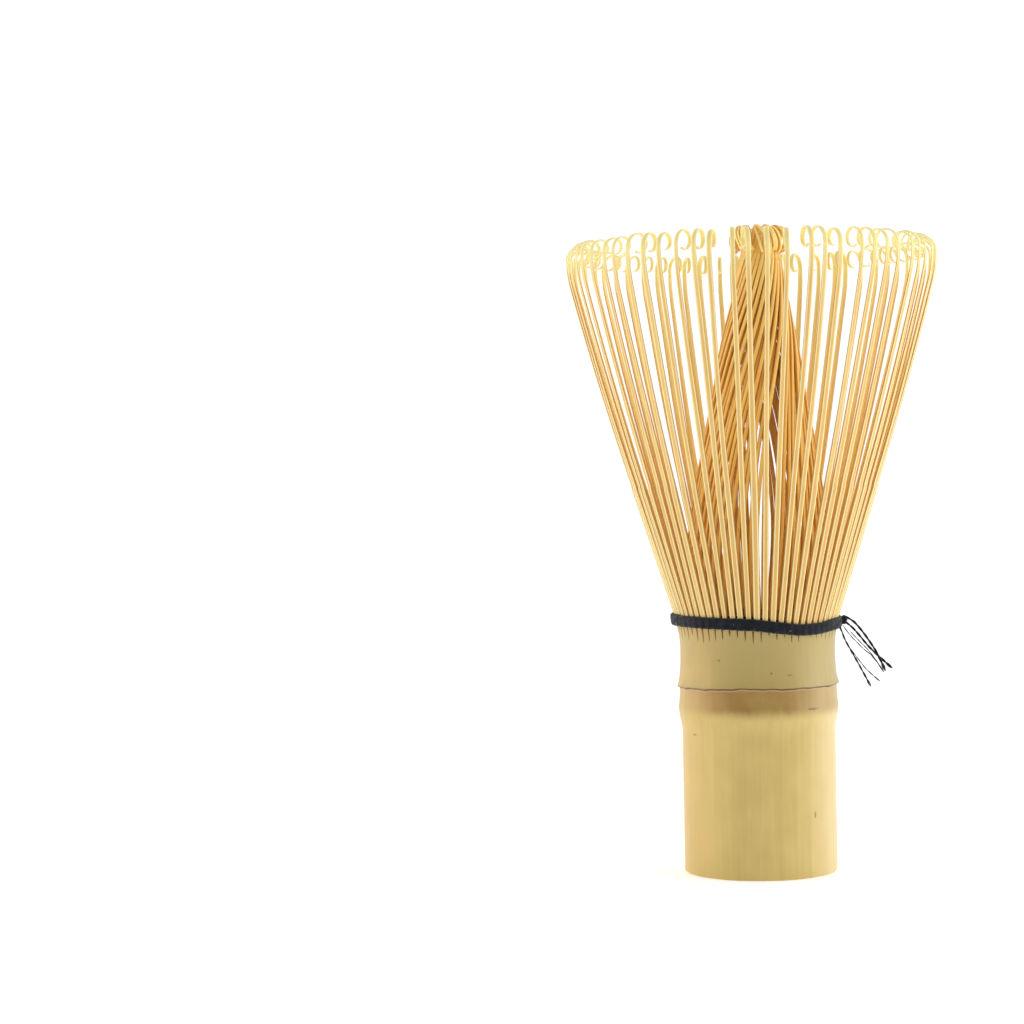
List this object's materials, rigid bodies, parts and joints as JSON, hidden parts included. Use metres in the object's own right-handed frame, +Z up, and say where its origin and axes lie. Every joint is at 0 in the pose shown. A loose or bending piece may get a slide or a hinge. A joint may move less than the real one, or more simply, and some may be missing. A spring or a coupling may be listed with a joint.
{
  "type": "bamboo tea whisk",
  "caption": "Bamboo tea whisk: a hollow culm grip split into fine outer tines with curled tips round a twisted inner cone, bound by a woven black thread.",
  "frame": {"origin": "centre of the cut face that the grip stands on", "axes": "+Z up along the culm from the grip to the tines; +X to the side where the thread is knotted; the front is -Y"},
  "size_m": [0.0644, 0.0644, 0.1125],
  "materials": {
    "culm": "bare scraped bamboo skin, satin",
    "bore_skin": "bare bamboo pith, matte",
    "outer_tine": "bare split bamboo, satin",
    "inner_tine": "bare split bamboo, matte",
    "thread": "dyed cotton thread, matte"
  },
  "bodies": {
    "culm": {"culm_grip": "culm", "culm_node_ring": "culm", "culm_diaphragm": "bore_skin", "culm_shoulder": "culm", "inner_tines_01": "inner_tine", "inner_tines_02": "inner_tine", "inner_tines_03": "inner_tine", "inner_tines_04": "inner_tine", "inner_tines_05": "inner_tine", "inner_tines_06": "inner_tine", "inner_tines_07": "inner_tine", "inner_tines_08": "inner_tine", "inner_tines_09": "inner_tine", "inner_tines_10": "inner_tine", "inner_tines_11": "inner_tine", "inner_tines_12": "inner_tine", "inner_tines_13": "inner_tine", "inner_tines_14": "inner_tine", "inner_tines_15": "inner_tine", "inner_tines_16": "inner_tine", "centre_knot": "inner_tine", "thread_outer_lower": "thread", "thread_outer_upper": "thread", "thread_inner_lower": "thread", "thread_inner_upper": "thread", "thread_knot": "thread", "thread_tail_upper": "thread", "thread_tail_middle": "thread", "thread_tail_lower": "thread"},
    "section_01": {"outer_tines_01": "outer_tine"},
    "section_02": {"outer_tines_02": "outer_tine"},
    "section_03": {"outer_tines_03": "outer_tine"},
    "section_04": {"outer_tines_04": "outer_tine"},
    "section_05": {"outer_tines_05": "outer_tine"},
    "section_06": {"outer_tines_06": "outer_tine"},
    "section_07": {"outer_tines_07": "outer_tine"},
    "section_08": {"outer_tines_08": "outer_tine"},
    "section_09": {"outer_tines_09": "outer_tine"},
    "section_10": {"outer_tines_10": "outer_tine"},
    "section_11": {"outer_tines_11": "outer_tine"},
    "section_12": {"outer_tines_12": "outer_tine"},
    "section_13": {"outer_tines_13": "outer_tine"},
    "section_14": {"outer_tines_14": "outer_tine"},
    "section_15": {"outer_tines_15": "outer_tine"},
    "section_16": {"outer_tines_16": "outer_tine"}
  },
  "joints": [
    {"name": "flex_01", "type": "hinge", "parent": "culm", "child": "section_01", "pos_m": [0.0134, 0.00199, 0.0434], "axis": [-0.1467, 0.9892, 0], "range_deg": [-4, 4], "stiffness_Nm_per_rad": 0.02},
    {"name": "flex_02", "type": "hinge", "parent": "culm", "child": "section_02", "pos_m": [0.01162, 0.00697, 0.0434], "axis": [-0.5141, 0.8577, 0], "range_deg": [-4, 4], "stiffness_Nm_per_rad": 0.02},
    {"name": "flex_03", "type": "hinge", "parent": "culm", "child": "section_03", "pos_m": [0.00807, 0.01088, 0.0434], "axis": [-0.8032, 0.5957, 0], "range_deg": [-4, 4], "stiffness_Nm_per_rad": 0.02},
    {"name": "flex_04", "type": "hinge", "parent": "culm", "child": "section_04", "pos_m": [0.00329, 0.01314, 0.0434], "axis": [-0.97, 0.243, 0], "range_deg": [-4, 4], "stiffness_Nm_per_rad": 0.02},
    {"name": "flex_05", "type": "hinge", "parent": "culm", "child": "section_05", "pos_m": [-0.00199, 0.0134, 0.0434], "axis": [-0.9892, -0.1467, 0], "range_deg": [-4, 4], "stiffness_Nm_per_rad": 0.02},
    {"name": "flex_06", "type": "hinge", "parent": "culm", "child": "section_06", "pos_m": [-0.00697, 0.01162, 0.0434], "axis": [-0.8577, -0.5141, 0], "range_deg": [-4, 4], "stiffness_Nm_per_rad": 0.02},
    {"name": "flex_07", "type": "hinge", "parent": "culm", "child": "section_07", "pos_m": [-0.01088, 0.00807, 0.0434], "axis": [-0.5957, -0.8032, 0], "range_deg": [-4, 4], "stiffness_Nm_per_rad": 0.02},
    {"name": "flex_08", "type": "hinge", "parent": "culm", "child": "section_08", "pos_m": [-0.01314, 0.00329, 0.0434], "axis": [-0.243, -0.97, 0], "range_deg": [-4, 4], "stiffness_Nm_per_rad": 0.02},
    {"name": "flex_09", "type": "hinge", "parent": "culm", "child": "section_09", "pos_m": [-0.0134, -0.00199, 0.0434], "axis": [0.1467, -0.9892, 0], "range_deg": [-4, 4], "stiffness_Nm_per_rad": 0.02},
    {"name": "flex_10", "type": "hinge", "parent": "culm", "child": "section_10", "pos_m": [-0.01162, -0.00697, 0.0434], "axis": [0.5141, -0.8577, 0], "range_deg": [-4, 4], "stiffness_Nm_per_rad": 0.02},
    {"name": "flex_11", "type": "hinge", "parent": "culm", "child": "section_11", "pos_m": [-0.00807, -0.01088, 0.0434], "axis": [0.8032, -0.5957, 0], "range_deg": [-4, 4], "stiffness_Nm_per_rad": 0.02},
    {"name": "flex_12", "type": "hinge", "parent": "culm", "child": "section_12", "pos_m": [-0.00329, -0.01314, 0.0434], "axis": [0.97, -0.243, 0], "range_deg": [-4, 4], "stiffness_Nm_per_rad": 0.02},
    {"name": "flex_13", "type": "hinge", "parent": "culm", "child": "section_13", "pos_m": [0.00199, -0.0134, 0.0434], "axis": [0.9892, 0.1467, 0], "range_deg": [-4, 4], "stiffness_Nm_per_rad": 0.02},
    {"name": "flex_14", "type": "hinge", "parent": "culm", "child": "section_14", "pos_m": [0.00697, -0.01162, 0.0434], "axis": [0.8577, 0.5141, 0], "range_deg": [-4, 4], "stiffness_Nm_per_rad": 0.02},
    {"name": "flex_15", "type": "hinge", "parent": "culm", "child": "section_15", "pos_m": [0.01088, -0.00807, 0.0434], "axis": [0.5957, 0.8032, 0], "range_deg": [-4, 4], "stiffness_Nm_per_rad": 0.02},
    {"name": "flex_16", "type": "hinge", "parent": "culm", "child": "section_16", "pos_m": [0.01314, -0.00329, 0.0434], "axis": [0.243, 0.97, 0], "range_deg": [-4, 4], "stiffness_Nm_per_rad": 0.02}
  ]
}
